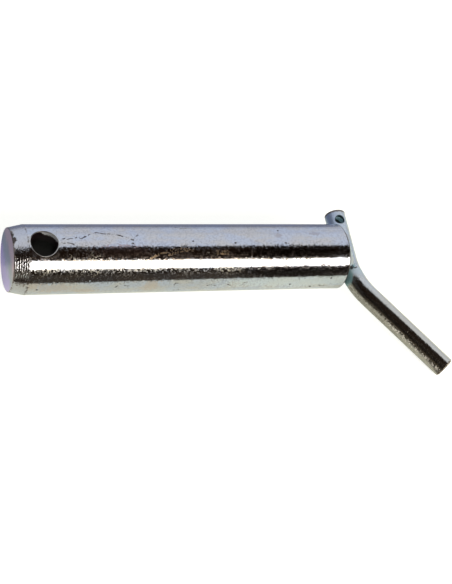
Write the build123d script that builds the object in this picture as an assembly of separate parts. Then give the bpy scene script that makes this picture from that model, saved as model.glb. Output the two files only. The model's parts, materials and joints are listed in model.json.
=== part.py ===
from build123d import *
import os
from math import asin, cos, degrees, radians, sin, sqrt

# A solid steel hitch pin. A bent rod is welded across one end of the shank and serves as
# its handle. The other end has a turned lead-in taper and a cross hole for a safety clip.
# Frame: X runs along the shank and Z points up. The origin is on the shank's axis, in the
# face that carries the handle, so the free end lies at -X. The pin lies as it comes to
# rest, on the side of its shank and on the tip of its handle. Every piece is first made
# with the handle's plane level, in XY, and the whole pin is then rolled about X.

# Shank
shank_d = 28.575  # 1 1/8 in bar
shank_length = 147.5
seat_edge = 0.3  # broken edge of the face that carries the handle
nose_length = 6.2  # lead-in taper, along the axis
nose_drop = 1.3  # fall of the taper, from the shank's side to the flat free face
nose_shoulder_r = 3.0  # eases the taper into the shank
nose_edge_r = 0.35  # rounds the rim of the free face
hole_d = 11.1  # cross hole, 7/16 in
hole_land = 0.65  # plain shank between the taper and the cross hole
hole_edge = 0.25  # broken edge of the cross hole's mouths

# Handle
rod_d = 9.4  # 3/8 in round rod
bend_start = 1.5  # the bend starts this far past the shank's axis
bend_r = 30.4  # to the rod's centre line
bend_angle = 38.0
grip_length = 45.6  # straight stretch behind the bend
tip_edge = 0.5  # broken edge of the cut end
eye_stand = 7.2  # the short end stands out this far past the shank's side
eye_edge = 0.45  # rounded edge of the short end
eye_d = 4.1  # hole for a lanyard or a chain
eye_from_end = 5.1  # short end to the axis of the eye
eye_offset = 0.5  # the eye is drilled this far off the rod's axis, towards the shank
eye_mouth = 0.15  # broken edge of the eye's mouths

# Weld beads
weld_leg = 5.4  # size of the fillet, along the face and along the rod
weld_r = 7.0  # radius of the bead's crown
weld_end_r = 2.0  # rounds the blunt ends of the bead
weld_rim = 0.7  # left bare between the bead and the rim of the shank
weld_end = 8.4  # the beads end this far past the shank's axis
weld_root = 1.5  # unfused gap left on each side of the line where rod and face touch

shank_r = shank_d / 2
rod_r = rod_d / 2
eye_reach = shank_r + eye_stand


def resting_roll():
    """Angle about X that brings the underside of the handle's tip down to the shank's."""
    beta = radians(bend_angle)
    reach = bend_start + bend_r * sin(beta) + (grip_length - tip_edge) * cos(beta)
    # The tip is a circle square to the grip, so its lowest point is rod_r * sqrt(1 -
    # (cos(beta) * s)^2) below its centre, for s the sine of the roll. That point has to
    # be shank_r below the axis, which makes a quadratic in s.
    a = reach**2 + (rod_r * cos(beta)) ** 2
    b = shank_r * reach
    c = shank_r**2 - rod_r**2
    return asin((b - sqrt(b**2 - a * c)) / a)


def drill(solid, x, y, diameter, edge_break):
    """Drill along Z right through a solid and break the edges of the two mouths."""
    bit = Pos(x, y, 0) * Cylinder(diameter / 2, 2 * shank_d)
    drilled = solid - bit
    rims = new_edges(solid, bit, combined=drilled).filter_by(GeomType.LINE, reverse=True)
    return chamfer(rims, edge_break)


def make_shank():
    """A turned bar with a taper at its free end and a cross hole just behind it."""
    nose_x = -shank_length
    shoulder_x = nose_x + nose_length
    outline = Polyline(
        (nose_x, 0),
        (nose_x, shank_r - nose_drop),
        (shoulder_x, shank_r),
        (0, shank_r),
        (0, 0),
        close=True,
    )
    section = make_face(outline)
    nose_rim = section.vertices().group_by(Axis.X)[0].sort_by(Axis.Y)[-1]
    section = fillet(nose_rim, nose_edge_r)
    shoulder = section.vertices().group_by(Axis.Y)[-1].sort_by(Axis.X)[0]
    section = fillet(shoulder, nose_shoulder_r)
    seat_rim = section.vertices().group_by(Axis.Y)[-1].sort_by(Axis.X)[-1]
    section = chamfer(seat_rim, seat_edge)
    bar = revolve(section, axis=Axis.X)
    hole_x = shoulder_x + hole_land + hole_d / 2
    return drill(bar, hole_x, 0, hole_d, hole_edge)


def make_rod():
    """The handle's round rod, bent once, before its ends and its eye are worked."""
    with BuildLine() as route:
        across = Line((rod_r, eye_reach), (rod_r, -bend_start))
        bend = JernArc(across @ 1, across % 1, bend_r, bend_angle)
        PolarLine(bend @ 1, grip_length, direction=bend % 1)
    start = Plane(across @ 0, z_dir=across % 0)
    return sweep(start * Circle(rod_r), path=route.line)


def make_handle(rod):
    """The bent rod, with a rounded short end, a broken edge at its tip and the eye."""
    short_rim = rod.edges().filter_by(GeomType.CIRCLE).sort_by(Axis.Y)[-1]
    trimmed = fillet(short_rim, eye_edge)
    tip_rim = trimmed.edges().filter_by(GeomType.CIRCLE).sort_by(Axis.X)[-1]
    trimmed = chamfer(tip_rim, tip_edge)
    return drill(trimmed, rod_r - eye_offset, eye_reach - eye_from_end, eye_d, eye_mouth)


def make_weld(rod):
    """A fillet bead in the corner between the shank's face and the upper side of the rod.

    The bead is a round bar along the rod, with rounded ends, cut off by the face and by
    the rod. Its crown passes through the two toes of the fillet.
    """
    inset = sqrt((weld_r**2 - weld_leg**2 / 2) / 2)
    crown_x = weld_leg / 2 - inset
    crown_z = rod_r + weld_leg / 2 - inset
    # The footprint's upper corner is an arc of weld_end_r, kept weld_rim inside the rim.
    corner_z = crown_z + sqrt(weld_r**2 - crown_x**2) - weld_end_r
    corner_y = sqrt((shank_r - weld_rim - weld_end_r) ** 2 - corner_z**2)
    top_y = corner_y + weld_end_r
    length = top_y + weld_end
    bar = Rot(X=90) * Cylinder(weld_r, length)
    bar = fillet(bar.edges().filter_by(GeomType.CIRCLE), weld_end_r)
    bar = Pos(crown_x, top_y - length / 2, crown_z) * bar
    room = 2 * (shank_d + weld_r)
    corner = Pos(room / 2, 0, room / 2 + weld_root) * Box(room, room, room)
    return (bar & corner) - rod


def main():
    rod = make_rod()
    weld = make_weld(rod)
    pieces = {
        "shank": make_shank(),
        "handle": make_handle(rod),
        "weld_upper": weld,
        "weld_lower": mirror(weld, about=Plane.XY),
    }
    roll = Rot(X=degrees(resting_roll()))
    os.makedirs("parts", exist_ok=True)
    for name, piece in pieces.items():
        export_step(roll * piece, f"parts/{name}.step")


main()
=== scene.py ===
# %% [markdown]
# A hitch pin with a handle, dressed for a product picture.
#
# The pin holds a drawbar in place on a tractor: a solid turned bar, with a bent round rod
# welded across one end as its handle. All of it is plated with bright zinc. The exact solids
# are loaded first and stay as they are. This lesson adds what solids don't have: the rippled
# surface of the two weld beads, the plating with its stains, scuffs and scratches, and a
# small studio, because bright metal shows little of itself and mostly its surroundings.

# %% Load the solids
import json
import math
import random
from math import cos, radians, sin, sqrt, tan

import bpy
from mathutils import Matrix, Vector


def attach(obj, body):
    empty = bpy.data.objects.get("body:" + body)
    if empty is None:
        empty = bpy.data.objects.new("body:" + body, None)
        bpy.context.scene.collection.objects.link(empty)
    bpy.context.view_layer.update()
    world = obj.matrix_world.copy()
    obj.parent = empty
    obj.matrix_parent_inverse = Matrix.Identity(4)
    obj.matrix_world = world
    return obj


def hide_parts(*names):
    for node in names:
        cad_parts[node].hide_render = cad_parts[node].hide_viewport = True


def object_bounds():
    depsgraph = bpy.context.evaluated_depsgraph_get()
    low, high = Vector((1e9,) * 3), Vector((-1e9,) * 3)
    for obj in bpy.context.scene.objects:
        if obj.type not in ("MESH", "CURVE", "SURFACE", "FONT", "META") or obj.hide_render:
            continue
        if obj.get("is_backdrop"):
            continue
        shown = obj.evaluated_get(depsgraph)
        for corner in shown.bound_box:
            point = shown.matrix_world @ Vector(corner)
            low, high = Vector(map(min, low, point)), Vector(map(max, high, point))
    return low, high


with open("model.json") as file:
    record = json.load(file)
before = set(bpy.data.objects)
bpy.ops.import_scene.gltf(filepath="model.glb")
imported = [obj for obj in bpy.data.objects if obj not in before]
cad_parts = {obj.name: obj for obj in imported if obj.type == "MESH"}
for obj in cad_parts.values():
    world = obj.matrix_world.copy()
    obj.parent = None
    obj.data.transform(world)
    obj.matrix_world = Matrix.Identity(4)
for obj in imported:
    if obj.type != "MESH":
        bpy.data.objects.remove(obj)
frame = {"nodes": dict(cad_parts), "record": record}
solid_low, solid_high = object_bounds()
print("nodes:", ", ".join(sorted(frame["nodes"])))
print("size of the solids in mm:", [round(1000 * s, 1) for s in solid_high - solid_low])

# %% [markdown]
# Everything is in metres, but a workshop thinks in millimetres, so one helper turns a
# length round. Colours are chosen as a screen shows them, as hex values, and a renderer
# adds up light, so a second helper makes them linear.


# %% Helpers for lengths and colours
def mm(length):
    return length / 1000


def linear(hex_colour):
    """An sRGB colour such as #C8CCD4 as the linear RGBA that Blender's sockets take."""
    shown = [int(hex_colour[i : i + 2], 16) / 255 for i in (1, 3, 5)]
    light = [s / 12.92 if s <= 0.04045 else ((s + 0.055) / 1.055) ** 2.4 for s in shown]
    return (*light, 1.0)


floor_z = solid_low.z
print("the pin rests on z =", round(1000 * floor_z, 2), "mm")

# %% [markdown]
# The picture is taken from above the free end, about half a metre away, with a short
# telephoto view. The camera's own three axes say how it is held: to its right, up, and
# backwards. A slight turn about its line of sight lays the shank level in the frame.

# %% The camera
camera_at = (mm(-250.262), mm(-297.571), mm(379.088))
to_the_right = (0.92536084, -0.24274711, 0.29117205)
upwards = (0.02110613, 0.79988624, 0.59978040)
backwards = (-0.37849948, -0.54886778, 0.74530685)
sensor_width = 36  # mm
focal_pixels, long_side = 1213.33, 584  # the focal length and the frame's long side, in pixels

camera = bpy.data.objects.new("camera", bpy.data.cameras.new("camera"))
bpy.context.scene.collection.objects.link(camera)
held = Matrix((to_the_right, upwards, backwards)).transposed().to_4x4()
camera.matrix_world = Matrix.Translation(camera_at) @ held
camera.data.sensor_width = sensor_width
camera.data.lens = sensor_width * focal_pixels / long_side
camera.data.clip_start, camera.data.clip_end = 0.01, 20
bpy.context.scene.camera = camera
bpy.context.scene.view_settings.view_transform = "Standard"  # colours as they are written
print("lens in mm:", round(camera.data.lens, 2))

# %% [markdown]
# One small function adds a shader node, with its settings and with what goes into its
# sockets: a number, a colour, another node's output, or just another node, which stands for
# its first output in use. Every material below is written with it, from left to right as
# the node editor would show it.


# %% Helpers for materials
def add(tree, kind, sockets=None, **settings):
    node = tree.nodes.new("ShaderNode" + kind)
    for name, value in settings.items():
        setattr(node, name, value)
    for name, value in (sockets or {}).items():
        if isinstance(value, bpy.types.Node):
            value = next(output for output in value.outputs if output.enabled)
        if isinstance(value, bpy.types.NodeSocket):
            tree.links.new(value, node.inputs[name])
        else:
            node.inputs[name].default_value = value
    return node


def empty_material(name):
    """A new material with no nodes, and its tree."""
    material = bpy.data.materials.new(name)
    material.use_nodes = True
    material.node_tree.nodes.clear()
    return material, material.node_tree


# %% [markdown]
# The floor is plain matt paper. It could be lit until it turns white, but then the pin
# would be overlit too. So the lamps stay low, and the paper glows a little for rays that
# come straight from the camera. White stays white, and the pin keeps its soft shadow. For
# rays that come off the metal the glow is weaker, so the underside shows the real paper.

# %% The floor
glow_for_camera, glow_for_metal = 0.72, 0.36

paper, tree = empty_material("matt_white_paper")
rays = add(tree, "LightPath").outputs
off_metal = {0: rays["Is Glossy Ray"], 1: rays["Is Transmission Ray"]}
off_metal = add(tree, "Math", off_metal, operation="MAXIMUM")
glow = add(tree, "Math", {0: off_metal, 1: glow_for_metal}, operation="MULTIPLY")
glow = {0: rays["Is Camera Ray"], 1: glow_for_camera, 2: glow}
glow = add(tree, "Math", glow, operation="MULTIPLY_ADD")
tint = {0: rays["Is Camera Ray"], 6: linear("#F0F8EA"), 7: (1, 1, 1, 1)}
tint = add(tree, "Mix", tint, data_type="RGBA")
sheet = add(tree, "BsdfDiffuse", {"Color": linear("#E4E5DC"), "Roughness": 0.5})
shine = add(tree, "Emission", {"Color": tint, "Strength": glow})
both = add(tree, "AddShader", {0: sheet, 1: shine})
add(tree, "OutputMaterial", {"Surface": both})

bpy.ops.mesh.primitive_plane_add(size=6, location=(0, 0, floor_z))
floor = bpy.context.object
floor.name = "floor"
floor.data.materials.append(paper)
floor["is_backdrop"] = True
print("floor:", round(floor.dimensions.x, 1), "m square")

# %% [markdown]
# Beyond the floor is plain white, for the camera and for the metal alike. What lights the
# paper from there is weaker, which leaves room for the lamp's own light and shadow.

# %% The white surroundings
light_on_paper = 0.38

world = bpy.data.worlds.new("white_surroundings")
world.use_nodes = True
bpy.context.scene.world = world
tree = world.node_tree
tree.nodes.clear()
rays = add(tree, "LightPath").outputs
seen = {0: rays["Is Camera Ray"], 1: rays["Is Glossy Ray"]}
seen = add(tree, "Math", seen, operation="MAXIMUM")
seen = add(tree, "Math", {0: seen, 1: rays["Is Transmission Ray"]}, operation="MAXIMUM")
strength = add(tree, "MapRange", {"Value": seen, "To Min": light_on_paper, "To Max": 1.0})
white = add(tree, "Background", {"Color": (1, 1, 1, 1), "Strength": strength})
add(tree, "OutputWorld", {"Surface": white})
print("world:", world.name)

# %% [markdown]
# Bright plating is half a mirror, and a round bar squeezes the whole room into its width.
# The bands along the shank are that room. So a photographer sets up what the bar should
# show, all of it parallel to the bar: a long softbox on the camera's side, black flags
# above and below it, and pale blue card behind. An angle of 0 is straight above the bar
# and 90 is level on the camera's side. The cards are there for the metal alone. They
# neither show to the camera nor shade the floor.

# %% Cards and flags round the pin
card_distance = 0.8
far = 1.5  # a card that doesn't end beside another runs this far to both sides
softbox_x0, softbox_x1 = -0.1, 1.0
softbox_start, softbox_end = 45, 70.5
flag_end, flag_x = 98, -0.45
cards = {
    # name: (from angle, to angle, from x, to x, colour)
    "card_at_table_level": (-94, -80, -far, far, "#BFC4D2"),
    "card_low_behind": (-80, -50, -far, far, "#DADFEA"),
    "card_high_behind": (-50, -1, -far, far, "#E6EAF2"),
    "flag_above": (-1, softbox_start, -far, far, "#20160F"),
    "flag_beside_softbox": (softbox_start, softbox_end, -far, softbox_x0, "#1E1611"),
    "flag_below": (softbox_end, flag_end, flag_x, far, "#241B13"),
    "card_tan_left": (softbox_end, flag_end, -far, flag_x, "#A59A84"),
}


def light_card(name, corners, colour):
    """A card seen by the metal alone, from its corners."""
    mesh = bpy.data.meshes.new(name)
    mesh.from_pydata(corners, [], [range(len(corners))])
    card = bpy.data.objects.new(name, mesh)
    bpy.context.scene.collection.objects.link(card)
    material, tree = empty_material(name)
    lit = add(tree, "Emission", {"Color": linear(colour), "Strength": 1.0})
    add(tree, "OutputMaterial", {"Surface": lit})
    mesh.materials.append(material)
    card.visible_camera = card.visible_diffuse = card.visible_shadow = False
    card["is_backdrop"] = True


for name, (start, end, x0, x1, colour) in cards.items():
    middle, half = radians((start + end) / 2), radians((end - start) / 2)
    out = Vector((0, -sin(middle), cos(middle))) * card_distance
    across = Vector((0, -cos(middle), -sin(middle))) * card_distance * tan(half)
    low, high = out - across, out + across
    corners = [(x0, *low[1:]), (x1, *low[1:]), (x1, *high[1:]), (x0, *high[1:])]
    light_card(name, corners, colour)
print(len(cards), "cards and flags along the bar")

# %% [markdown]
# The lowest part of the bar mirrors the table itself. A dark flag lies there in front, a
# little way off, so that a strip of paper still shows in the metal as a pale green band. A
# grey card lies behind. Two more cards stand beyond the ends, for the faces that look there.

# %% Cards on the table and beyond the ends
on_table = floor_z + mm(0.5)
in_front = [(-0.17, -0.0396), (-0.11, -0.0396), (1.5, -0.245), (1.5, -1.2), (-0.05, -1.2)]
behind = [(-1.5, 0.008), (-0.15, 0.008), (-0.15, 0.034), (0.022, 0.034), (0.50, 1.0), (-1.5, 1.0)]
light_card("flag_on_table", [(x, y, on_table) for x, y in in_front], "#443C33")
light_card("card_on_table", [(x, y, on_table) for x, y in behind], "#878CA0")
for side, x, colour in (("left", -1.0, "#8C8E92"), ("right", 1.0, "#D6DAE1")):
    corners = [(x, -0.9, -0.1), (x, 0.9, -0.1), (x, 0.9, 0.9), (x, -0.9, 0.9)]
    light_card("card_" + side, corners, colour)
print("the flag's edge is", round(-1000 * in_front[0][1], 1), "mm from the bar's axis")

# %% [markdown]
# The softbox itself is an area lamp, because the renderer finds a lamp more easily than a
# glowing card. It is as long as the pin several times over, so its reflection runs the
# whole length of the bar as one white line. Its light is a little warm, which shows at the
# edges of its reflection.

# %% The softbox
middle = radians((softbox_start + softbox_end) / 2)
half = radians((softbox_end - softbox_start) / 2)
softbox = bpy.data.lights.new("softbox", "AREA")
softbox.shape = "RECTANGLE"
softbox.size = softbox_x1 - softbox_x0
softbox.size_y = 2 * card_distance * tan(half)
softbox.energy = 6.86  # W
softbox.color = linear("#FFF7EA")[:3]
lamp = bpy.data.objects.new("softbox", softbox)
bpy.context.scene.collection.objects.link(lamp)
out = Vector((0, -sin(middle), cos(middle))) * card_distance
lamp.location = ((softbox_x0 + softbox_x1) / 2, out.y, out.z)
lamp.rotation_euler = (middle, 0, 0)
print("softbox in m:", round(softbox.size, 2), "by", round(softbox.size_y, 2))

# %% [markdown]
# A hand weld is a row of puddles. Each one freezes as an overlapping scale on the last,
# which leaves the bead's ripples. The solids have the bead's size and place, but smooth. A
# bead could get its ripples from a displacement, yet building it as it is laid is simpler
# and truer: a row of flattened balls along the joint, melted into one skin by a remesh,
# and cut off flush where the shank's face is. The first and last puddles are smaller. The
# bead is built with the handle level and then rolled as the whole pin is.

# %% The weld beads
square_to_handle = frame["record"]["mounts"][1]["axis"]  # the cross hole's
roll = math.atan2(-square_to_handle[1], square_to_handle[2])
rod_r = mm(4.7)
leg, crown_r, root_gap = mm(5.4), mm(6.95), mm(1.5)
inset = sqrt((crown_r**2 - leg**2 / 2) / 2)
crown_x, crown_z = leg / 2 - inset, rod_r + leg / 2 - inset
puddle_pitch, puddle_half, end_length = mm(1.35), mm(2.3), mm(2.5)
first_y, last_y = mm(7.3), mm(-6.3)


def weld_bead(name, side, seed):
    """One bead, on the upper side of the rod (1) or the lower (-1)."""
    hand = random.Random(seed)
    bpy.ops.object.select_all(action="DESELECT")
    puddles = []
    y = first_y
    while y > last_y:
        # Smaller near both ends, and no puddle quite like another.
        from_end = min(first_y - y, y - last_y) / end_length
        size = crown_r * (0.92 + 0.08 * min(1, from_end)) * hand.uniform(0.985, 1.01)
        bpy.ops.mesh.primitive_uv_sphere_add(
            segments=48,
            ring_count=24,
            radius=size,
            location=(crown_x, y, side * crown_z),
            rotation=(side * radians(14), 0, radians(hand.uniform(-4, 4))),
            scale=(1, puddle_half / crown_r, 1),
        )
        puddles.append(bpy.context.object)
        y -= puddle_pitch * hand.uniform(0.85, 1.15)
    for puddle in puddles:
        puddle.select_set(True)
    bpy.ops.object.join()
    bead = bpy.context.object
    bead.name = name
    bpy.ops.object.transform_apply(location=True, rotation=True, scale=True)
    skin = bead.modifiers.new("melt", "REMESH")
    skin.mode, skin.voxel_size = "VOXEL", mm(0.2)
    bpy.ops.object.modifier_apply(modifier="melt")
    relax = bead.modifiers.new("relax", "SMOOTH")
    relax.factor, relax.iterations = 0.5, 4
    bpy.ops.object.modifier_apply(modifier="relax")
    bpy.ops.object.mode_set(mode="EDIT")
    # Cut off flush with the shank's face, and along the unfused root.
    for point, away in (((0, 0, 0), (1, 0, 0)), ((0, 0, side * root_gap), (0, 0, side))):
        bpy.ops.mesh.select_all(action="SELECT")
        bpy.ops.mesh.bisect(
            plane_co=point, plane_no=away, use_fill=True, clear_inner=True, threshold=mm(0.0001)
        )
    bpy.ops.mesh.select_all(action="SELECT")
    bpy.ops.mesh.normals_make_consistent(inside=False)
    bpy.ops.object.mode_set(mode="OBJECT")
    bead.data.transform(Matrix.Rotation(roll, 4, "X"))
    bpy.ops.object.shade_smooth_by_angle(angle=radians(50))
    return bead


beads = []
for name, side, seed in (("weld_upper", 1, 4), ("weld_lower", -1, 9)):
    bead = weld_bead(name + "_rippled", side, seed)
    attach(bead, "root")
    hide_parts(name)
    beads.append(bead)
    bead_size = [round(1000 * d, 1) for d in bead.dimensions]
    print(bead.name, len(bead.data.polygons), "faces, size in mm", bead_size)

# %% [markdown]
# Bright zinc plating is a thin metal skin over the steel. It is nearly a mirror, with a
# cold blue cast from its clear passivation, warmer where that is thicker, and it keeps the
# grain of what lies below. Three layers make it, all in millimetres on the piece itself.
#
# 1. Clouds, about 10 mm long, move the colour between the cold and the warm cast.
# 2. The grain of the zinc: each grain is tilted a little its own way, and a few are tilted
#    a lot, so that reflections have ragged edges with sparks beside them. The real grains
#    are finer than a tenth of a millimetre. They are drawn 0.5 mm wide, as coarse as they
#    need to be to show.
# 3. Some of the grains are also rougher and duller than the rest.


# %% The layers of the plating
cloud_height, cloud_stretch = 5.0, 0.4
grain_width = 0.5
centre = (0.5, 0.5, 0.5)  # of a noise's colours


def zinc_plate(name, cold, warm, grain, roughness):
    """A plated surface with its three layers, for later cells to add their coats to."""
    material, tree = empty_material(name)
    here = add(tree, "TexCoord").outputs["Object"]
    place = add(tree, "VectorMath", {0: here, "Scale": 1000}, operation="SCALE")  # in mm

    drawn = {0: place, 1: (cloud_stretch, 1, 1)}
    drawn = add(tree, "VectorMath", drawn, operation="MULTIPLY")
    clouds = {"Vector": drawn, "Scale": 1 / cloud_height, "Detail": 4, "Roughness": 0.6}
    clouds = add(tree, "TexNoise", clouds)
    cast = {"Value": clouds, "From Min": 0.38, "From Max": 0.64}
    cast = add(tree, "MapRange", cast, interpolation_type="SMOOTHSTEP")
    colour = add(tree, "Mix", {0: cast, 6: linear(cold), 7: linear(warm)}, data_type="RGBA")

    grains = add(tree, "TexVoronoi", {"Vector": place, "Scale": 1 / grain_width})
    grains = grains.outputs["Color"]
    lean = add(tree, "VectorMath", {0: grains, 1: centre}, operation="SUBTRACT")
    strong = add(tree, "VectorMath", {0: lean}, operation="LENGTH")
    strong = add(tree, "Math", {0: strong, 1: 3}, operation="POWER")
    strong = add(tree, "Math", {0: strong, 1: grain}, operation="MULTIPLY")
    lean = add(tree, "VectorMath", {0: lean, "Scale": strong}, operation="SCALE")
    upright = add(tree, "NewGeometry").outputs["Normal"]
    normal = add(tree, "VectorMath", {0: upright, 1: lean}, operation="ADD")
    normal = add(tree, "VectorMath", {0: normal}, operation="NORMALIZE")

    specks = add(tree, "SeparateColor", {0: grains}).outputs["Blue"]
    dusty = {"Value": specks, "From Min": 0.45, "From Max": 0.95}
    dusty = add(tree, "MapRange", dusty, interpolation_type="SMOOTHSTEP")
    rough = add(tree, "Math", {0: dusty, 1: 0.18, 2: roughness}, operation="MULTIPLY_ADD")
    dull = add(tree, "Math", {0: dusty, 1: 0.3}, operation="MULTIPLY")
    colour = add(tree, "Mix", {0: dull, 6: colour, 7: linear("#A5A4A6")}, data_type="RGBA")
    plate = {"material": material, "tree": tree, "place": place, "specks": specks}
    plate |= {"normal": normal, "colour": colour, "height": 0.0, "rough": rough}
    return plate | {"metallic": 1.0}


# %% [markdown]
# Stains, scratches and bare spots are further coats. Each has a mask, which is 1 where the
# coat lies. There it mixes its own colour and roughness in, and it can lie deeper than the
# plating round it. A coat that isn't bare metal, such as rust or a thick film, is only
# partly metallic. When all coats are on, the height turns into bumps, and everything goes
# into one metal shader.


# %% A coat over the plating, and the finished material
def coat(plate, mask, colour, rough=None, cover=1.0, sunk=0.0, metallic=1.0):
    """Lay a coat over a plate, where its mask is 1 and as far as it covers. It is sunk in mm."""
    tree = plate["tree"]
    share = add(tree, "Math", {0: mask, 1: cover}, operation="MULTIPLY")
    layers = {0: share, 6: plate["colour"], 7: linear(colour)}
    plate["colour"] = add(tree, "Mix", layers, data_type="RGBA")
    if rough is not None:  # a thin film keeps the roughness of what lies below
        plate["rough"] = add(tree, "Mix", {0: share, 2: plate["rough"], 3: rough})
    if metallic != plate["metallic"]:
        plate["metallic"] = add(tree, "Mix", {0: share, 2: plate["metallic"], 3: metallic})
    if sunk:
        lowered = {0: mask, 1: -sunk, 2: plate["height"]}
        plate["height"] = add(tree, "Math", lowered, operation="MULTIPLY_ADD")


def finish_plate(plate):
    """The metal shader, once all coats are on."""
    tree = plate["tree"]
    relief = {"Height": plate["height"], "Distance": mm(1), "Normal": plate["normal"]}
    relief = add(tree, "Bump", relief) if plate["height"] else plate["normal"]
    metal = {"Base Color": plate["colour"], "Metallic": plate["metallic"]}
    metal = add(tree, "BsdfPrincipled", metal | {"Roughness": plate["rough"], "Normal": relief})
    add(tree, "OutputMaterial", {"Surface": metal})
    print(plate["material"].name, "has", len(tree.nodes), "nodes")
    return plate["material"]


# %% [markdown]
# A mark that the picture shows at one spot is drawn by its distance: from a line for a
# scratch, from a point for a stain or a pit. On the bar the spot is best given as on a
# label wrapped round it, by the millimetres along and the degrees round, from the top
# towards the camera's side. Noise shakes the place first, so that no mark looks ruled.


# %% Marks by their distance
bar_r = 14.2875  # mm
nowhere_near = 99.0  # mm


def on_bar(along, degrees_round):
    """A spot on the bar's unrolled surface, in mm."""
    return Vector((along, radians(degrees_round) * bar_r, 0))


def lines_mask(tree, flat, lines, width):
    """1 on lines through such spots, or through places in space. They fade out at this width."""
    nearest = nowhere_near
    for line in lines:
        spots = [Vector(spot) if len(spot) == 3 else on_bar(*spot) for spot in line]
        for a, b in zip(spots, spots[1:]):
            from_a = add(tree, "VectorMath", {0: flat, 1: a}, operation="SUBTRACT")
            share = {0: from_a, 1: (b - a) / (b - a).length_squared}
            share = add(tree, "VectorMath", share, operation="DOT_PRODUCT")
            share = add(tree, "Clamp", {"Value": share})
            foot = add(tree, "VectorMath", {0: b - a, "Scale": share}, operation="SCALE")
            gap = add(tree, "VectorMath", {0: from_a, 1: foot}, operation="DISTANCE")
            nearest = add(tree, "Math", {0: gap, 1: nearest}, operation="MINIMUM")
    fade = {"Value": nearest, "From Min": width, "From Max": 0.4 * width}
    return add(tree, "MapRange", fade, interpolation_type="SMOOTHSTEP")


def spots_mask(tree, flat, spots, fray=0.0):
    """1 in oval spots, each with its place and its half length and half height in mm."""
    nearest = nowhere_near
    for along, degrees_round, length, height in spots:
        away = {0: flat, 1: on_bar(along, degrees_round)}
        away = add(tree, "VectorMath", away, operation="SUBTRACT")
        away = {0: away, 1: (1 / length, 1 / height, 0)}
        away = add(tree, "VectorMath", away, operation="MULTIPLY")
        away = add(tree, "VectorMath", {0: away}, operation="LENGTH")
        nearest = add(tree, "Math", {0: away, 1: nearest}, operation="MINIMUM")
    ragged = add(tree, "Math", {0: nearest, 1: fray}, operation="ADD")
    fade = {"Value": ragged, "From Min": 1.25, "From Max": 0.75}
    return add(tree, "MapRange", fade, interpolation_type="SMOOTHSTEP")


# %% [markdown]
# The shank is bright turned bar. Its material starts with the plating, and with the places
# that all its coats need: along the bar, round it, out from its axis, and the unrolled
# surface, once as it is and once shaken.

# %% The shank's plating and its places
shank = zinc_plate(
    "bright_zinc_on_turned_bar", cold="#C4CAD7", warm="#CBC9C8", grain=0.25, roughness=0.085
)
tree, place = shank["tree"], shank["place"]
along, y, z = add(tree, "SeparateXYZ", {0: place}).outputs
from_axis = add(tree, "CombineXYZ", {0: y, 1: z})
from_axis = add(tree, "VectorMath", {0: from_axis}, operation="LENGTH")
minus_y = add(tree, "Math", {0: y, 1: -1}, operation="MULTIPLY")
turn = add(tree, "Math", {0: minus_y, 1: z}, operation="ARCTAN2")
arc = add(tree, "Math", {0: turn, 1: bar_r}, operation="MULTIPLY")
flat = add(tree, "CombineXYZ", {0: along, 1: arc})

shake_width = 0.9
shake = add(tree, "TexNoise", {"Vector": place, "Scale": 1 / shake_width, "Detail": 3})
fray = add(tree, "Math", {0: shake, 1: 3.0, 2: -1.5}, operation="MULTIPLY_ADD")
aside = add(tree, "VectorMath", {0: shake.outputs["Color"], 1: centre}, operation="SUBTRACT")
shaken = {0: aside, 1: (0.9, 0.9, 0), 2: flat}
shaken = add(tree, "VectorMath", shaken, operation="MULTIPLY_ADD")
print("places ready for", shank["material"].name)

# %% [markdown]
# Stains come first, because they lie flattest: tan where the passivation is thick, grey smudges
# and a rusty haze. Three long strips along the bands are painted reflection instead: a tan tint on
# the upper dark band, both dark bands painted darker towards the welded end, and a paler strip low
# down there.

# %% Stains on the shank
tan_spots = [(-130, 92, 7, 3), (-90, 90, 3.2, 4), (-140, 84, 4, 2.5), (-118, 102, 6, 1.5)]
# Where both dark bands are painted darker: painted shade in the reflection.
dark_band_spots = [(-1.6, 61, 3.2, 2), (-25, 64, 27, 2.6), (-25, 31, 27, 2.7)]
stains = {
    # name: (colour, roughness, cover, spots)
    "tan": ("#C9B6A4", 0.16, 0.45, tan_spots),
    "smudges": ("#A59FA2", 0.2, 0.5, [(-15.5, -6, 3, 1), (-12, -32, 3.5, 1), (-33, -2, 1.5, 1.2)]),
    # The next three are painted reflection along the bands, not stains: a tan tint, a paler strip
    # and darker bands.
    "painted tan band": ("#AE9A88", None, 0.7, [(-74, 31, 82, 2.3)]),
    "painted paler band": ("#E2EAEE", None, 0.6, [(-22, 85, 32, 4)]),
    "painted darker bands": ("#322A26", None, 0.8, dark_band_spots),
    "rusty haze": ("#A97C6C", 0.24, 0.4, [(-103, 25, 10, 2.2)]),
}
for colour, rough, cover, spots in stains.values():
    coat(shank, spots_mask(tree, flat, spots, fray), colour, rough=rough, cover=cover)
print("stains:", ", ".join(stains))

# %% [markdown]
# Where the plating is powdery, only some of its grains are dull and the others stay bright,
# so such a spot is multiplied by the grains' own specks. The same goes for the brown
# streaks, which are old drawing oil that was plated over.

# %% Powdery spots and oil streaks on the shank
powder = {"Value": shank["specks"], "From Min": 0.35, "From Max": 0.75}
powder = add(tree, "MapRange", powder, interpolation_type="SMOOTHSTEP")
powdery = [(-134, 60, 6, 2.5), (-124, 64, 7, 2), (-114, 61, 6, 2.2), (-104, 64, 6, 1.6)]
powdery += [(-58, 62, 6, 1.8), (-76, 60, 7, 1.5), (-118, 41, 12, 0.8), (-90, 41.5, 14, 0.6)]
powdery += [(-47, 41.5, 12, 0.5), (-21, 42, 14, 0.5), (-91, 58, 7, 0.9)]
powdery = spots_mask(tree, flat, powdery, fray)
powdery = add(tree, "Math", {0: powdery, 1: powder}, operation="MULTIPLY")
coat(shank, powdery, "#A9A492", rough=0.34, cover=0.45)

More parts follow.
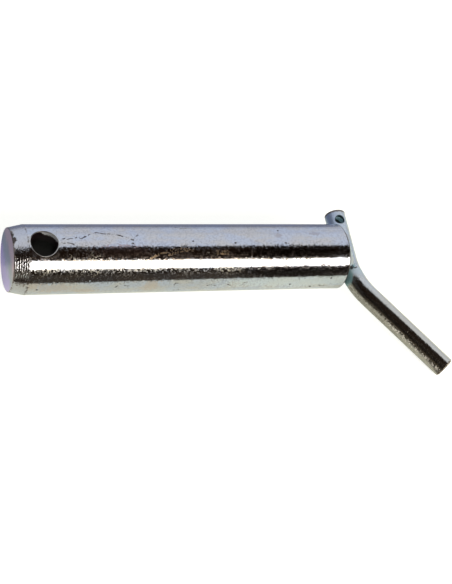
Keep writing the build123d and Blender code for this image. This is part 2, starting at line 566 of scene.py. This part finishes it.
streaks = [
    [(-91.5, 38), (-87.7, 31), (-85, 28.5), (-82.2, 24.5), (-78.9, 22), (-74.6, 23.5)],
    [(-84, 33), (-79, 27), (-73, 25.5)],
    [(-62.5, 27), (-57.5, 27.5)],
    [(-62.5, 31), (-58, 32)],
]
broken = {"Value": shank["specks"], "From Min": 0.2, "From Max": 0.7}
broken = add(tree, "MapRange", broken, interpolation_type="SMOOTHSTEP")
streaks = lines_mask(tree, shaken, streaks, 0.65)
streaks = add(tree, "Math", {0: streaks, 1: broken}, operation="MULTIPLY")
coat(shank, streaks, "#917853", rough=0.48, cover=0.8)
print("the shank has", len(tree.nodes), "nodes so far")

# %% [markdown]
# Rubbed streaks are pale and matt, and so scatter the softbox over the dark bands. They are
# broken up by the specks too.

# %% Rubbed streaks on the shank
rubbed = [
    [(-125.4, 31), (-123.4, 38)],
    [(-118.1, 23), (-116.4, 32), (-114.7, 38.5)],
    [(-116.1, 27.5), (-115.2, 36.5)],
    [(-117.3, 38.5), (-112.7, 33.5)],
    [(-137.9, 69.5), (-135.7, 61.5), (-133.8, 59)],
    [(-117.1, 57.5), (-114, 65)],
    [(-116, 68.5), (-113.3, 59.5)],
    [(-61.4, 51), (-59.9, 63)],
    [(-57.3, 65), (-56.7, 58), (-55.7, 53)],
    [(-67.5, 29), (-66, 31)],
]
print(len(rubbed), "rubbed streaks")
rubbed = lines_mask(tree, shaken, rubbed, 0.6)
rubbed = add(tree, "Math", {0: rubbed, 1: broken}, operation="MULTIPLY")
coat(shank, rubbed, "#C2BEAC", rough=0.36, cover=0.6)

# %% [markdown]
# Scratches go deeper than what is rubbed, look nearly black and break off here and there,
# so noise leaves gaps in them. Pits are deeper still, and about a millimetre across.

# %% Scratches and pits on the shank
gaps = {"Vector": place, "Scale": 1 / 1.4, "Detail": 3, "Roughness": 0.7}
gaps = add(tree, "TexNoise", gaps)
gaps = {"Value": gaps, "From Min": 0.45, "From Max": 0.54}
gaps = add(tree, "MapRange", gaps, interpolation_type="SMOOTHSTEP")

deep = [(-128.6, 5.6), (-126.4, 2.3), (-125.8, 4.5), (-122.4, 2.4), (-121.3, -1), (-119.9, 3.7)]
deep += [(-117.8, -2), (-114.9, -8.3), (-112.5, -9.4), (-110.9, -6.8), (-108, -6)]
deep += [(-104.4, -3.9), (-101.1, 1.3)]
deep = lines_mask(tree, shaken, [deep], 0.34)
deep = add(tree, "Math", {0: deep, 1: gaps}, operation="MULTIPLY")
coat(shank, deep, "#37312D", rough=0.35, cover=0.95, sunk=0.03)

shallow = [
    [(-100.2, 2.5), (-98.6, 7.1), (-96.9, -0.5), (-95.6, -4.7)],
    [(-128.2, 10.6), (-126.3, 11.7), (-124.5, 11.8), (-122.4, 15.7)],
    [(-78.3, -25.7), (-76.5, -20.9), (-68.5, -22.9)],
    [(-105, 92), (-104.2, 88), (-103, 86.5)],
    [(-102.2, 87), (-100.7, 90), (-98.7, 88)],
    [(-80.2, 92), (-79.8, 85.5), (-78.3, 84.5)],
    [(-65, 93), (-63.4, 91), (-61.1, 93.5)],
    [(-57.1, 95.5), (-56.1, 91), (-54.1, 93.5)],
    [(-50.8, 94), (-49.2, 92), (-48.6, 87.5), (-47.4, 85.5)],
    [(-79.3, 106.9), (-76.1, 105.8)],
    [(-17.2, 101.5), (-15.2, 104.5), (-13.9, 102.5)],
    [(-12.2, 98.5), (-10.6, 101), (-9.6, 100.5)],
]
shallow = lines_mask(tree, shaken, shallow, 0.42)
shallow = add(tree, "Math", {0: shallow, 1: gaps}, operation="MULTIPLY")
coat(shank, shallow, "#57524A", rough=0.35, cover=0.85, sunk=0.02)

pits = [(-72.6, 9), (-53.8, 13.2), (-98.9, 13), (-32.4, -13.7), (-30.5, 14), (-23.5, 19.3)]
pits += [(-26.5, 94.4), (-141.7, 90), (-137.4, 95.5), (-15.9, 103.5), (-11.6, 100), (-7.9, 79.5)]
print(len(pits), "pits")
pits = [(*pit, 0.5, 0.42) for pit in pits]
coat(shank, spots_mask(tree, shaken, pits), "#403A34", rough=0.4, cover=0.85, sunk=0.08)

# %% [markdown]
# The taper was cut with a coarser feed than the bar, so ridges run round it, 0.9 mm apart and a
# little uneven. They are flatter towards its underside. The furrows between them are painted dark
# on the camera's side only, where the softbox's highlight falls: painted shade that breaks the
# highlight into lines. One oily spot lies below.

# %% The taper
feed_pitch, ridge_height = 0.9, 0.022
on_taper = add(tree, "Math", {0: shake, 1: 0.9, 2: along}, operation="MULTIPLY_ADD")
on_taper = {"Value": on_taper, "From Min": -140.7, "From Max": -141.1}
on_taper = add(tree, "MapRange", on_taper, interpolation_type="SMOOTHSTEP")
feed = add(tree, "Math", {0: shake, 1: 8.0}, operation="MULTIPLY")
feed = {0: along, 1: 2 * math.pi / feed_pitch, 2: feed}
feed = add(tree, "Math", feed, operation="MULTIPLY_ADD")
ridges = add(tree, "Math", {0: feed}, operation="SINE")
ridges = add(tree, "Math", {0: ridges, 1: on_taper}, operation="MULTIPLY")
flatter = {"Value": turn, "From Min": radians(74), "From Max": radians(64), "To Min": 0.25}
flatter = add(tree, "MapRange", flatter)
ridges = add(tree, "Math", {0: ridges, 1: flatter}, operation="MULTIPLY")
raised = {0: ridges, 1: ridge_height, 2: shank["height"]}
shank["height"] = add(tree, "Math", raised, operation="MULTIPLY_ADD")
coat(shank, on_taper, "#C1C2C6", rough=0.16, cover=0.5)

# Painted shade: the furrows go dark only where the highlight falls.
furrow_shade = {"Value": ridges, "From Min": -0.1, "From Max": -0.7}
furrow_shade = add(tree, "MapRange", furrow_shade, interpolation_type="SMOOTHSTEP")
highlight_zone = spots_mask(tree, flat, [(-144.5, 60, 5, 8)], fray)
furrow_shade = add(tree, "Math", {0: furrow_shade, 1: highlight_zone}, operation="MULTIPLY")
coat(shank, furrow_shade, "#5A4E42", rough=0.3, cover=0.8)
oily = spots_mask(tree, flat, [(-144.2, 76, 3.0, 2.4)], fray)
coat(shank, oily, "#5B4A40", rough=0.2, cover=0.6)
print("ridges", feed_pitch, "mm apart and", 2 * ridge_height, "mm high")

# %% [markdown]
# The taper's shoulder and the rim at the free end are where the bar gets knocked. There the
# plating is chipped to the brown of the steel, so each edge is a distance that coarse noise pushes
# in and out. The rim at the welded end gets a dark line drawn the same way, which is painted
# shade.

# %% The shoulder and the rims
free_end, face_r, shoulder_x = -147.5, 12.9, -141.5
worn = {"Vector": place, "Scale": 1 / 1.3, "Detail": 3, "Roughness": 0.65}
worn = add(tree, "TexNoise", worn)
shoulder = add(tree, "Math", {0: along, 1: -shoulder_x}, operation="ADD")
shoulder = add(tree, "Math", {0: shoulder}, operation="ABSOLUTE")
shoulder = add(tree, "Math", {0: worn, 1: 4.0, 2: shoulder}, operation="MULTIPLY_ADD")
shoulder = {"Value": shoulder, "From Min": 2.3, "From Max": 1.9}
shoulder = add(tree, "MapRange", shoulder, interpolation_type="SMOOTHSTEP")
coat(shank, shoulder, "#5F5347", rough=0.4, cover=0.7)

beyond_face = add(tree, "Math", {0: from_axis, 1: face_r}, operation="SUBTRACT")
from_end = add(tree, "Math", {0: along, 1: -free_end - 0.15}, operation="ADD")
rim = add(tree, "CombineXYZ", {0: from_end, 1: beyond_face})
rim = add(tree, "VectorMath", {0: rim}, operation="LENGTH")
rim = add(tree, "Math", {0: worn, 1: 3.2, 2: rim}, operation="MULTIPLY_ADD")
rim = {"Value": rim, "From Min": 2.0, "From Max": 1.75}
rim = add(tree, "MapRange", rim, interpolation_type="SMOOTHSTEP")
coat(shank, rim, "#6B5A4E", rough=0.45, cover=0.8, metallic=0.5)
chipped = spots_mask(tree, flat, [(-147.1, -9, 0.6, 1.9), (-146.7, 2, 0.9, 1.5)], fray)
coat(shank, chipped, "#3A302B", rough=0.5, cover=0.95, metallic=0.4)

# Painted shade: a dark line round the edge of the welded end, which also keeps the highlight off
# that edge.
seat_edge_shade = add(tree, "Math", {0: shake, 1: 0.6, 2: along}, operation="MULTIPLY_ADD")
seat_edge_shade = {"Value": seat_edge_shade, "From Min": -0.42, "From Max": -0.15}
seat_edge_shade = add(tree, "MapRange", seat_edge_shade, interpolation_type="SMOOTHSTEP")
coat(shank, seat_edge_shade, "#463F39", rough=0.4, cover=0.9)
print("shoulder at x =", shoulder_x, "mm, free end at", free_end, "mm")

# %% [markdown]
# The free end was only faced off. It is duller than the turned side, and its passivation
# wanders from violet at the top over a cold grey to lavender at the bottom.

# %% The face of the free end
on_face = {"Value": along, "From Min": free_end + 0.2, "From Max": free_end + 0.08}
on_face = add(tree, "MapRange", on_face, interpolation_type="SMOOTHSTEP")
inside_rim = {"Value": from_axis, "From Min": face_r, "From Max": face_r - 0.4}
inside_rim = add(tree, "MapRange", inside_rim, interpolation_type="SMOOTHSTEP")
on_face = add(tree, "Math", {0: on_face, 1: inside_rim}, operation="MULTIPLY")
coat(shank, on_face, "#B8BFC6", rough=0.42, cover=0.95)

hues = {"Vector": place, "Scale": 1 / 7, "Detail": 4, "Roughness": 0.6}
hues = add(tree, "TexNoise", hues)
hues = add(tree, "Math", {0: hues, 1: 0.5}, operation="MULTIPLY")
uphill = add(tree, "Math", {0: z, 1: 0.045, 2: hues}, operation="MULTIPLY_ADD")
films = {
    # name: (uphill from, uphill to, colour, cover)
    "violet": (0.3, 0.6, "#E8CBCE", 0.85),
    "lavender": (0.32, 0.0, "#D4C4F6", 0.9),
}
for start, end, colour, cover in films.values():
    film = {"Value": uphill, "From Min": start, "From Max": end}
    film = add(tree, "MapRange", film, interpolation_type="SMOOTHSTEP")
    film = add(tree, "Math", {0: film, 1: on_face}, operation="MULTIPLY")
    coat(shank, film, colour, rough=0.42, cover=cover)
print("films on the face:", ", ".join(films))

# %% [markdown]
# The cross hole was drilled before the plating, which reached only a millimetre or two into it,
# and on one side more than elsewhere. That part is bright but matt, with a few painted glints:
# white specks that stand for light caught by the plating. Below it the wall is dark and a little
# rusty, and deeper in it is painted black, as painted shade in the depth of the hole.

# %% The cross hole's wall
hole = frame["record"]["mounts"][1]
hole_x, hole_r = 1000 * hole["pos_m"][0], hole["dims"]["r_mm"]
plated_at, dark_grey_at = radians(50), radians(110)  # round the mouth, from the handle's end
beside = add(tree, "Math", {0: z, 1: sin(roll)}, operation="MULTIPLY")
beside = add(tree, "Math", {0: y, 1: cos(roll), 2: beside}, operation="MULTIPLY_ADD")
from_hole = add(tree, "Math", {0: along, 1: hole_x}, operation="SUBTRACT")
from_hole = add(tree, "CombineXYZ", {0: from_hole, 1: beside})
outwards = add(tree, "VectorMath", {0: from_hole}, operation="NORMALIZE")
from_hole = add(tree, "VectorMath", {0: from_hole}, operation="LENGTH")
hole_wall = {"Value": from_hole, "From Min": hole_r + 0.08, "From Max": hole_r + 0.03}
hole_wall = add(tree, "MapRange", hole_wall)
coat(shank, hole_wall, "#E6E6EC", rough=0.5, metallic=0.35)
# Painted glints: white specks on the plated part of the wall.
painted_glints = add(tree, "MapRange", {"Value": shank["specks"], "From Min": 0.5, "From Max": 0.6})
painted_glints = add(tree, "Math", {0: painted_glints, 1: hole_wall}, operation="MULTIPLY")
coat(shank, painted_glints, "#FFFFFF", rough=0.25, cover=0.8, metallic=0.5)

plated_side = Vector((cos(plated_at), sin(plated_at), 0))
plated = add(tree, "VectorMath", {0: outwards, 1: plated_side}, operation="DOT_PRODUCT")
plated = {"Value": plated, "From Min": 0.4, "From Max": 0.9, "To Max": 3}  # mm deeper
plated = add(tree, "MapRange", plated)
bare = add(tree, "Math", {0: shake, 1: 2.6, 2: from_axis}, operation="MULTIPLY_ADD")
bare = add(tree, "Math", {0: bare, 1: plated}, operation="ADD")
bare = {"Value": bare, "From Min": 16.8, "From Max": 16.1}
bare = add(tree, "MapRange", bare, interpolation_type="SMOOTHSTEP")
bare = add(tree, "Math", {0: bare, 1: hole_wall}, operation="MULTIPLY")
coat(shank, bare, "#4E3A40", rough=0.5, metallic=1.0)
# Painted shade: the wall goes black deeper in the hole.
hole_depth_shade = {"Value": from_axis, "From Min": 10.5, "From Max": 7.0}
hole_depth_shade = add(tree, "MapRange", hole_depth_shade, interpolation_type="SMOOTHSTEP")
hole_depth_shade = add(tree, "Math", {0: hole_depth_shade, 1: hole_wall}, operation="MULTIPLY")
coat(shank, hole_depth_shade, "#0E0B0C", rough=0.5, cover=0.9)
print("cross hole at x =", hole_x, "mm, radius", hole_r, "mm")

# %% [markdown]
# The broken edge of the mouth is painted pale, as painted highlight for the bright line that edge
# catches. Towards one side it is dark grey instead.

# %% The cross hole's mouth
# Painted highlight: a pale ring round the mouth.
painted_mouth_edge = add(tree, "Math", {0: from_hole, 1: hole_r + 0.15}, operation="SUBTRACT")
painted_mouth_edge = add(tree, "Math", {0: painted_mouth_edge}, operation="ABSOLUTE")
painted_mouth_edge = add(tree, "MapRange", {"Value": painted_mouth_edge, "From Min": 0.22, "From Max": 0.12})
outside = add(tree, "MapRange", {"Value": from_axis, "From Min": 13.7, "From Max": 13.9})
painted_mouth_edge = add(tree, "Math", {0: painted_mouth_edge, 1: outside}, operation="MULTIPLY")
coat(shank, painted_mouth_edge, "#DEDCD6", rough=0.42, cover=0.9)
dark_grey_side = Vector((cos(dark_grey_at), sin(dark_grey_at), 0))
dark_grey_edge = add(tree, "VectorMath", {0: outwards, 1: dark_grey_side}, operation="DOT_PRODUCT")
dark_grey_edge = add(tree, "MapRange", {"Value": dark_grey_edge, "From Min": 0.6, "From Max": 0.8})
dark_grey_edge = add(tree, "Math", {0: dark_grey_edge, 1: painted_mouth_edge}, operation="MULTIPLY")
coat(shank, dark_grey_edge, "#4E494A", rough=0.5, cover=0.95)
print("the shank has", len(tree.nodes), "nodes before it is finished")

# %% [markdown]
# The handle is drawn rod, a little coarser than the bar. Its plating goes from cold blue at the
# short end to neutral at the grip. On the inner side of the bend and the grip, which mirrors the
# shaded floor, it is painted a darker tan as painted shade, with dark specks of its own. A
# near-black strip of painted shade runs beside that, from the bead down, on the dark band that the
# grip reflects. How far a spot faces inwards says which of these it gets.

# %% The handle's plating
handle = zinc_plate(
    "bright_zinc_on_drawn_rod", cold="#CBD8E4", warm="#CACED0", grain=0.34, roughness=0.085
)
tree, place = handle["tree"], handle["place"]
bend = radians(38)
grip = Vector((sin(bend), -cos(bend) * cos(roll), -cos(bend) * sin(roll)))
down_grip = add(tree, "VectorMath", {0: place, 1: grip}, operation="DOT_PRODUCT")
on_grip = add(tree, "MapRange", {"Value": down_grip, "From Min": 5, "From Max": 30})
coat(handle, on_grip, "#CFCBC0", rough=0.15, cover=0.85)

normal = add(tree, "TexCoord").outputs["Normal"]
inward = Vector((-0.79, -0.5, -0.35)).normalized()
facing_in = add(tree, "VectorMath", {0: normal, 1: inward}, operation="DOT_PRODUCT")
# Painted shade: the inner side is darkened, for the shaded floor it mirrors.
inner_shade = add(tree, "MapRange", {"Value": facing_in, "From Min": 0.3, "From Max": 0.6})
past_bead = add(tree, "MapRange", {"Value": down_grip, "From Min": 8, "From Max": 14})
inner_shade = add(tree, "Math", {0: inner_shade, 1: past_bead}, operation="MULTIPLY")
coat(handle, inner_shade, "#9C978F", rough=0.2, cover=0.85)

tan_side = add(tree, "MapRange", {"Value": facing_in, "From Min": 0.7, "From Max": 0.84})
# Painted shade: a near-black strip on the dark band that the grip reflects.
dark_band_shade = add(tree, "MapRange", {"Value": facing_in, "From Min": 0.84, "From Max": 0.7})
for start, end, least in ((10.5, 13, 0), (30, 20, 0.7)):
    within = {"Value": down_grip, "From Min": start, "From Max": end, "To Min": least}
    within = add(tree, "MapRange", within)
    dark_band_shade = add(tree, "Math", {0: dark_band_shade, 1: within}, operation="MULTIPLY")
dark_band_shade = add(tree, "Math", {0: dark_band_shade, 1: inner_shade}, operation="MULTIPLY")
coat(handle, dark_band_shade, "#251C16", rough=0.2, cover=0.88)
dark_specks = {"Value": handle["specks"], "From Min": 0.4, "From Max": 0.7}
dark_specks = add(tree, "MapRange", dark_specks, interpolation_type="SMOOTHSTEP")
dark_specks = add(tree, "Math", {0: inner_shade, 1: dark_specks}, operation="MULTIPLY")
coat(handle, dark_specks, "#5F574A", rough=0.35, cover=0.55)
print("the grip runs along", [round(c, 2) for c in grip])

# %% [markdown]
# Near the tip the tan side is rubbed pale, with painted sparks: near-white specks that stand for
# single grains catching the light. The tip's rim is knocked, pale where only the plating is
# bruised and brown where it is chipped off.

# %% The tip of the grip
tip_at = max(grip.dot(vertex.co) for vertex in frame["nodes"]["handle"].data.vertices) * 1000
near_tip = {"Value": down_grip, "From Min": tip_at - 34, "From Max": tip_at - 14}
near_tip = add(tree, "MapRange", near_tip)
near_tip = add(tree, "Math", {0: near_tip, 1: tan_side}, operation="MULTIPLY")
coat(handle, near_tip, "#C0BDB3", rough=0.4, cover=0.6, metallic=0.7)
# Painted highlights: near-white specks near the tip.
painted_sparks = add(tree, "MapRange", {"Value": handle["specks"], "From Min": 0.66, "From Max": 0.7})
for start, end, value in ((0.66, 0.76, facing_in), (0.97, 0.9, facing_in), (24, 40, down_grip)):
    within = add(tree, "MapRange", {"Value": value, "From Min": start, "From Max": end})
    painted_sparks = add(tree, "Math", {0: painted_sparks, 1: within}, operation="MULTIPLY")
coat(handle, painted_sparks, "#F4EEE4", rough=0.45, cover=0.9, metallic=0.3)

knocks = {"Vector": place, "Scale": 1 / 1.3, "Detail": 3, "Roughness": 0.65}
knocks = add(tree, "TexNoise", knocks)
tip_rim = add(tree, "Math", {0: knocks, 1: 2.4, 2: down_grip}, operation="MULTIPLY_ADD")
tip_rim = {"Value": tip_rim, "From Min": tip_at + 0.4, "From Max": tip_at + 0.7}
tip_rim = add(tree, "MapRange", tip_rim, interpolation_type="SMOOTHSTEP")
coat(handle, tip_rim, "#C9BBA4", rough=0.4, cover=0.8, metallic=0.6)
tip_chips = {"Value": knocks, "From Min": 0.52, "From Max": 0.56}
tip_chips = add(tree, "MapRange", tip_chips, interpolation_type="SMOOTHSTEP")
tip_chips = add(tree, "Math", {0: tip_chips, 1: tip_rim}, operation="MULTIPLY")
coat(handle, tip_chips, "#51453B", rough=0.45, cover=0.85, metallic=0.6)
print("the grip ends", round(tip_at, 1), "mm down its own direction")

# %% [markdown]
# The short end's left side is painted a darker blue, as painted shade for the dark surroundings it
# mirrors, and its rim is knocked brown. The corner below the bead is painted sea green, as painted
# shade in the gap between the rod and the shank's face, and it turns pale blue towards the camera.

# %% The short end and the corner below the bead
to_eye = Vector((0, cos(roll), sin(roll)))
up_rod = add(tree, "VectorMath", {0: place, 1: to_eye}, operation="DOT_PRODUCT")
short_end = add(tree, "MapRange", {"Value": up_rod, "From Min": 9, "From Max": 13})
# Painted shade: the short end's left side is painted darker.
leftward = {0: normal, 1: Vector((-1, 0, 0))}
leftward = add(tree, "VectorMath", leftward, operation="DOT_PRODUCT")
leftward = add(tree, "MapRange", {"Value": leftward, "From Min": -0.1, "From Max": 0.8})
left_side_shade = add(tree, "Math", {0: short_end, 1: leftward}, operation="MULTIPLY")
coat(handle, left_side_shade, "#9DABC1", rough=0.32, cover=0.95)
top_rim = add(tree, "Math", {0: knocks, 1: 1.2, 2: up_rod}, operation="MULTIPLY_ADD")
top_rim = {"Value": top_rim, "From Min": 20.8, "From Max": 21.2}
top_rim = add(tree, "MapRange", top_rim, interpolation_type="SMOOTHSTEP")
coat(handle, top_rim, "#6A5E55", rough=0.45, cover=0.85, metallic=0.5)

# Painted shade: the corner below the bead, paler towards the camera.
corner_shade = add(tree, "MapRange", {"Value": up_rod, "From Min": -5.5, "From Max": -7.5})
slanting = add(tree, "Math", {0: up_rod, 1: 0.14, 2: facing_in}, operation="MULTIPLY_ADD")
slanting = add(tree, "MapRange", {"Value": slanting, "From Min": -1.42, "From Max": -1.27})
corner_shade = add(tree, "Math", {0: corner_shade, 1: slanting}, operation="MULTIPLY")
above = add(tree, "MapRange", {"Value": up_rod, "From Min": -15.2, "From Max": -13.6})
corner_shade = add(tree, "Math", {0: corner_shade, 1: above}, operation="MULTIPLY")
coat(handle, corner_shade, "#82AAB0", rough=0.5, cover=0.95, metallic=0.4)
corner_shade_fade = add(tree, "MapRange", {"Value": up_rod, "From Min": -13.4, "From Max": -10.5})
below_crack = add(tree, "MapRange", {"Value": up_rod, "From Min": -7.5, "From Max": -8.5})
corner_shade_fade = add(tree, "Math", {0: corner_shade_fade, 1: below_crack}, operation="MULTIPLY")
facing_up = add(tree, "MapRange", {"Value": facing_in, "From Min": 0.4, "From Max": 0.15})
corner_shade_fade = add(tree, "Math", {0: corner_shade_fade, 1: facing_up}, operation="MULTIPLY")
coat(handle, corner_shade_fade, "#BCCCD6", rough=0.55, cover=0.8, metallic=0.4)
print("the short end points along", [round(c, 2) for c in to_eye])

# %% [markdown]
# A crack runs out from under the bead, as fine as a hair. Where it starts, in the notch at the
# bead's end, it is drawn wide and dark, and that part is painted shade in the notch. It is drawn
# through places in space, because it lies on the rod and not on the unrolled bar.

# %% The crack beside the bead
crack = [(2.5, -9.2, 3.4), (3.6, -8.9, 3.1), (4.5, -8.5, 3.2), (5.1, -9.2, 3.2), (6.2, -8.6, 3.2)]
print("the crack is", round(math.dist(crack[0], crack[-1]), 1), "mm long")
# Painted shade: the wide dark start of the crack, in the notch.
crack_notch_shade = lines_mask(tree, place, [crack[:2]], 1.1)
crack_line = lines_mask(tree, place, [crack[1:]], 0.36)
crack = add(tree, "Math", {0: crack_notch_shade, 1: crack_line}, operation="MAXIMUM")
coat(handle, crack, "#1F1D1B", rough=0.5, cover=0.95, metallic=0.5)

# %% [markdown]
# The eye is a small hole, and light hardly gets into it. Its wall is painted dark as painted
# shade, with a lighter sea green band halfway up, painted light for what light does get in.

# %% The eye
eye = frame["record"]["mounts"][2]
eye_place, eye_r, eye_axis = Vector(eye["pos_m"]) * 1000, eye["dims"]["r_mm"], Vector(eye["axis"])
away = add(tree, "VectorMath", {0: place, 1: eye_place}, operation="SUBTRACT")
from_eye = add(tree, "VectorMath", {0: away, 1: eye_axis}, operation="CROSS_PRODUCT")
from_eye = add(tree, "VectorMath", {0: from_eye}, operation="LENGTH")
eye_wall = {"Value": from_eye, "From Min": eye_r + 0.3, "From Max": eye_r + 0.15}
eye_wall = add(tree, "MapRange", eye_wall)
# Painted shade: the eye's wall is dark.
coat(handle, eye_wall, "#3E5058", rough=0.62)
# Painted light: a lighter band halfway up the wall.
halfway_light = add(tree, "VectorMath", {0: away, 1: eye_axis}, operation="DOT_PRODUCT")
halfway_light = add(tree, "Math", {0: knocks, 1: 2.0, 2: halfway_light}, operation="MULTIPLY_ADD")
halfway_light = add(tree, "Math", {0: halfway_light, 1: 3.1}, operation="SUBTRACT")
halfway_light = add(tree, "Math", {0: halfway_light}, operation="ABSOLUTE")
halfway_light = {"Value": halfway_light, "From Min": 1.5, "From Max": 0.9}
halfway_light = add(tree, "MapRange", halfway_light, interpolation_type="SMOOTHSTEP")
halfway_light = add(tree, "Math", {0: halfway_light, 1: eye_wall}, operation="MULTIPLY")
coat(handle, halfway_light, "#AFD3E0", rough=0.62, metallic=0.6)
print("eye at", [round(c, 1) for c in eye_place], "mm, radius", eye_r, "mm")

# %% [markdown]
# The beads took the plating as well, but weld metal is coarser, and its plating a little more sea
# green. The end of the bead in front is undercut where the crack starts, and painted black there,
# as painted shade in that notch.

# %% The beads' plating
weld = zinc_plate(
    "bright_zinc_on_weld", cold="#C6D6E0", warm="#C4CACA", grain=0.4, roughness=0.18
)
# Painted shade: the end of the bead is black in its notch.
bead_notch_shade = [[(0.5, -9.5, 4.5), (2.4, -9.3, 4.4), (3.2, -9.0, 3.6)]]
bead_notch_shade = lines_mask(weld["tree"], weld["place"], bead_notch_shade, 1.0)
coat(weld, bead_notch_shade, "#1F1D1B", rough=0.5, cover=0.95, metallic=0.5)
print("plating ready for", weld["material"].name)

# %% [markdown]
# Last, the finished materials go onto the pieces. The loaded nodes keep their meshes and
# get the material in their slots. The beads are new pieces and take it as their own.

# %% Finishes onto the pieces
for name, plate in (("shank", shank), ("handle", handle)):
    finished = finish_plate(plate)
    for slot in frame["nodes"][name].material_slots:
        slot.material = finished
finished = finish_plate(weld)
for bead in beads:
    bead.data.materials.clear()
    bead.data.materials.append(finished)

# %% [markdown]
# The size of the dressed pin is printed at the end, beside the size of the solids printed at the
# start. The dressed pin has to stay inside the box of its solids.

# %% Sizes and the end
low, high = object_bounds()
print("size of the dressed pin in mm:", [round(1000 * s, 1) for s in high - low])
